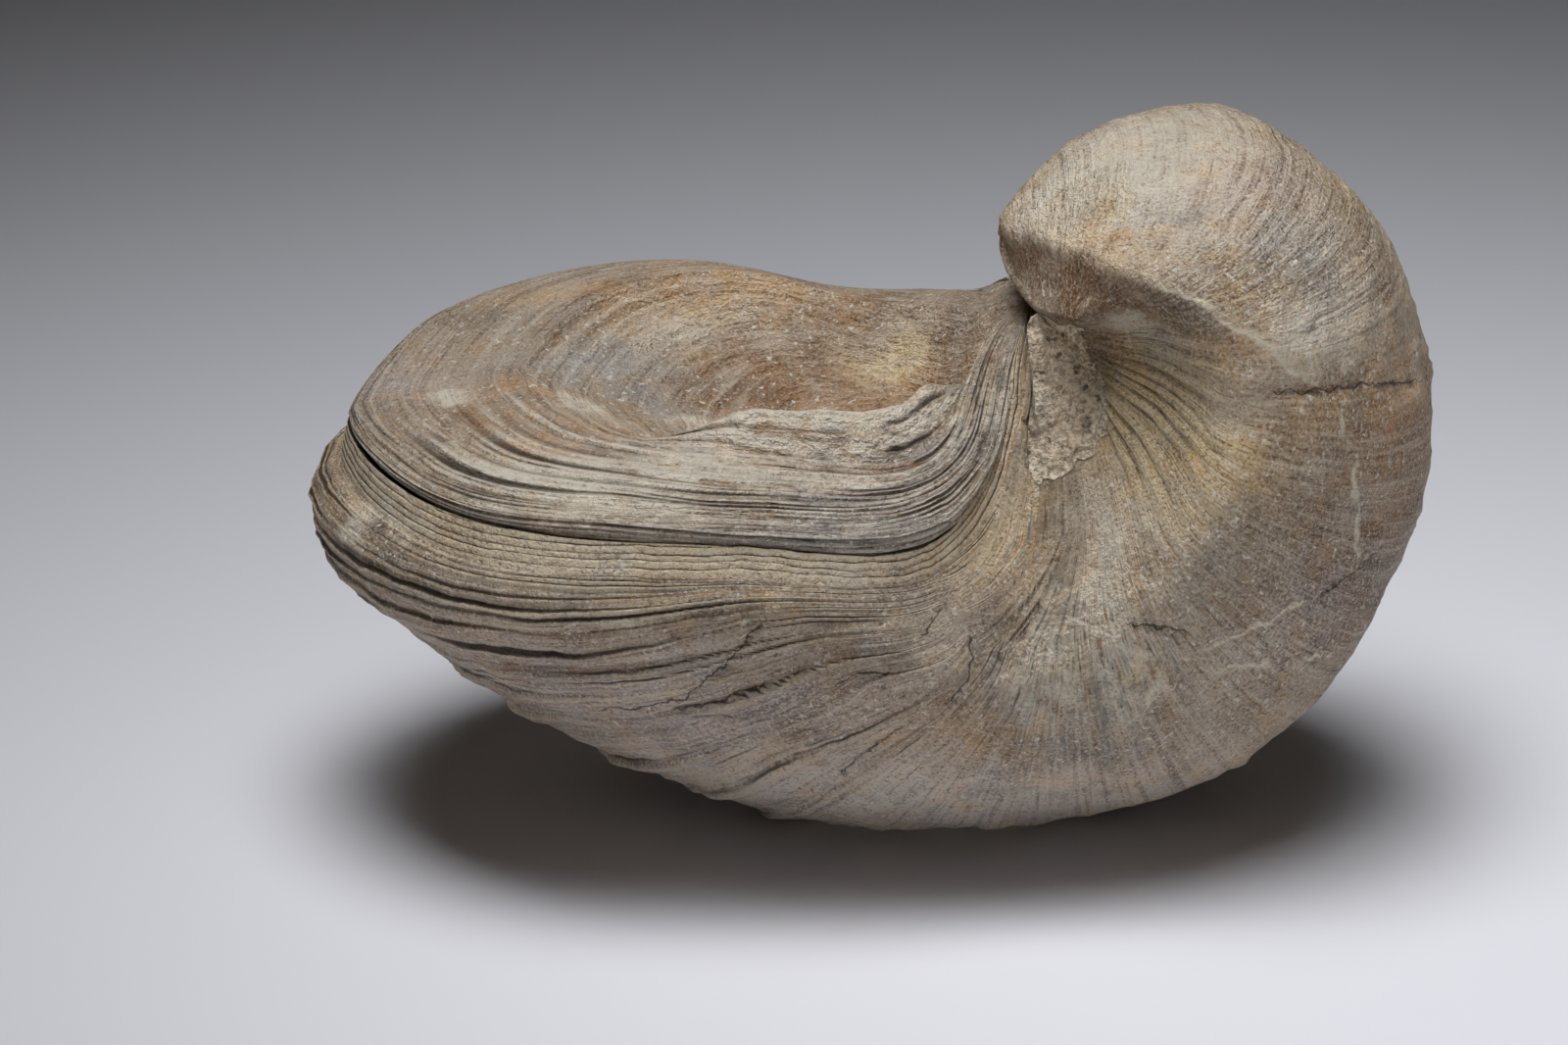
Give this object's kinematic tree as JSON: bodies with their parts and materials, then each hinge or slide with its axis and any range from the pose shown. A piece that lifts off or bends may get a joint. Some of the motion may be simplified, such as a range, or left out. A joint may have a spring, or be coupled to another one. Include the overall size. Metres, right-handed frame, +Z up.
{
  "type": "fossil oyster",
  "caption": "Fossil oyster: a thick coiled shell with an overhanging beak, its dished lid lying in the mouth and grainy sediment beside the hinge.",
  "frame": {"origin": "on the ground, under the middle of the shell's bounding box", "axes": "+X towards the coiled back of the shell (the beak's end), +Z up, Y = 0 is the plane of the coil"},
  "size_m": [0.075, 0.0464, 0.0473],
  "materials": {
    "left_valve_stone": "matt warm grey-brown stone with fine growth lines, cream highlights and dark flecks",
    "right_valve_stone": "matt brown-grey stone, laminated at the edge, with orange-brown and cream streaks",
    "sediment": "rough grainy grey, black and cream set mud"
  },
  "bodies": {
    "root": {"left_valve": "left_valve_stone", "right_valve": "right_valve_stone", "sediment_plug": "sediment"}
  },
  "joints": []
}
